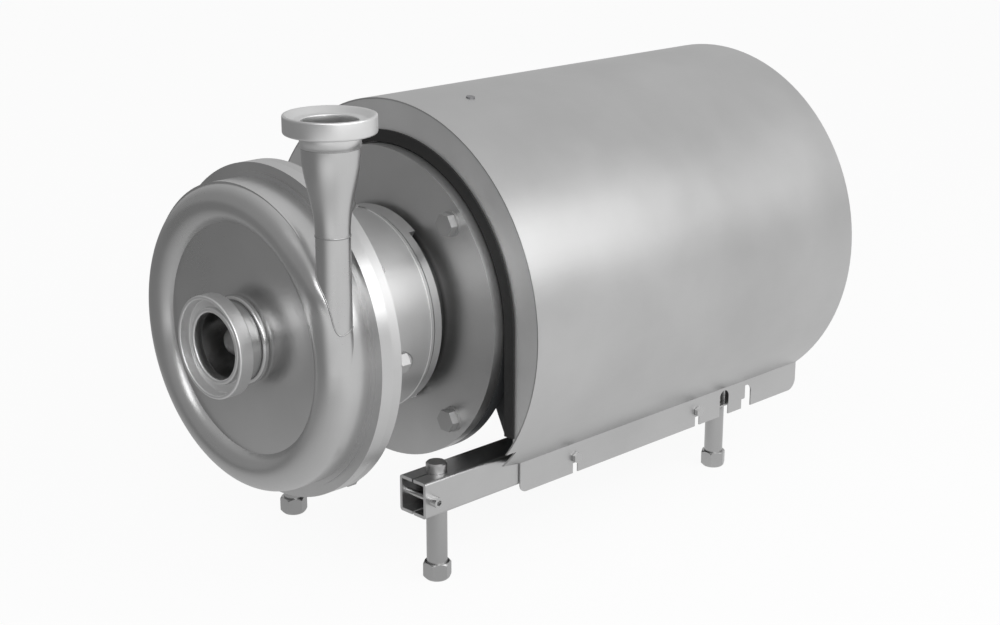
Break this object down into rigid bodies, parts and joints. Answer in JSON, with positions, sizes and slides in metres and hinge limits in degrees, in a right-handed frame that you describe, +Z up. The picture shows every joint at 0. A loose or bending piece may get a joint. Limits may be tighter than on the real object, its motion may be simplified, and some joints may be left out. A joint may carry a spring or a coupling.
{
  "type": "sanitary centrifugal pump",
  "caption": "Close-coupled sanitary centrifugal pump: bulged round casing, tangential outlet, adaptor lantern, shrouded flange motor and adjustable legs.",
  "frame": {"origin": "centre of the footprint on the floor, under the shaft axis", "axes": "+Y along the shaft from the inlet towards the motor, +Z up, +X towards the outlet side"},
  "size_m": [0.385, 0.6894, 0.4587],
  "materials": {
    "stainless_satin": "satin, bead blasted",
    "stainless_brushed": "brushed",
    "stainless_fasteners": "bright",
    "stainless_turned": "turned",
    "adaptor_cast": "cast, satin",
    "black_rubber": "matte",
    "seal_carbon": "lapped carbon",
    "seal_metal": "turned",
    "motor_casting": "painted grey",
    "core_steel": "ground",
    "winding_copper": "varnished",
    "fan_plastic": "moulded",
    "cowl_sheet": "painted grey",
    "gland_plastic": "moulded"
  },
  "bodies": {
    "base": {"adaptor": "adaptor_cast", "adaptor_bolts": "stainless_fasteners", "adaptor_nuts": "stainless_fasteners", "adaptor_washers": "stainless_fasteners", "back_plate": "stainless_satin", "bearing_outer_rings": "core_steel", "cable_glands": "gland_plastic", "cap_nuts": "stainless_fasteners", "casing_o_ring": "black_rubber", "casing_studs": "stainless_fasteners", "drive_end_shield": "motor_casting", "fan_cowl": "cowl_sheet", "fan_cowl_screws": "stainless_fasteners", "guard_left": "stainless_brushed", "guard_right": "stainless_brushed", "guard_screws": "stainless_fasteners", "inlet_union": "stainless_satin", "leg_bar_left": "stainless_brushed", "leg_bar_right": "stainless_brushed", "leg_clamp_screws": "stainless_fasteners", "motor_foot_bolts": "stainless_fasteners", "motor_frame": "motor_casting", "outlet_reducer": "stainless_satin", "outlet_union": "stainless_satin", "pump_casing": "stainless_satin", "rear_end_shield": "motor_casting", "seal_seat": "seal_carbon", "shaft_lip_seal": "black_rubber", "shroud_bolts": "stainless_fasteners", "stator_core": "core_steel", "stator_windings": "winding_copper", "terminal_box": "motor_casting", "terminal_box_lid": "motor_casting", "terminal_lid_screws": "stainless_fasteners"},
    "rotor": {"pump_shaft": "stainless_satin", "impeller": "stainless_satin", "impeller_nut": "stainless_satin", "seal_ring": "seal_carbon", "seal_bellows": "black_rubber", "seal_drive_ring": "seal_metal", "coupling_rings": "stainless_fasteners", "coupling_screws": "stainless_fasteners", "motor_shaft": "core_steel", "rotor_core": "core_steel", "bearing_inner_rings": "core_steel", "cooling_fan": "fan_plastic"},
    "shroud": {"shroud_shell": "stainless_brushed", "shroud_plug": "black_rubber", "shroud_front_plate": "stainless_brushed", "shroud_rear_plate": "stainless_brushed", "front_edge_trim": "black_rubber", "rear_edge_trim": "black_rubber"},
    "front_right_leg": {"leg_front_right": "stainless_turned", "foot_front_right": "stainless_turned"},
    "front_left_leg": {"leg_front_left": "stainless_turned", "foot_front_left": "stainless_turned"},
    "rear_right_leg": {"leg_rear_right": "stainless_turned", "foot_rear_right": "stainless_turned"},
    "rear_left_leg": {"leg_rear_left": "stainless_turned", "foot_rear_left": "stainless_turned"}
  },
  "joints": [
    {"name": "shaft_spin", "type": "hinge", "parent": "base", "child": "rotor", "pos_m": [0, -0.2303, 0.239], "axis": [0, -1, 0], "continuous": true},
    {"name": "shroud_lift", "type": "slide", "parent": "base", "child": "shroud", "axis": [0, 0, 1], "range_m": [0, 0.36]},
    {"name": "front_right_leg_slide", "type": "slide", "parent": "base", "child": "front_right_leg", "axis": [0, 0, 1], "range_m": [-0.008, 0.035]},
    {"name": "front_left_leg_slide", "type": "slide", "parent": "base", "child": "front_left_leg", "axis": [0, 0, 1], "range_m": [-0.008, 0.035]},
    {"name": "rear_right_leg_slide", "type": "slide", "parent": "base", "child": "rear_right_leg", "axis": [0, 0, 1], "range_m": [-0.008, 0.035]},
    {"name": "rear_left_leg_slide", "type": "slide", "parent": "base", "child": "rear_left_leg", "axis": [0, 0, 1], "range_m": [-0.008, 0.035]}
  ]
}
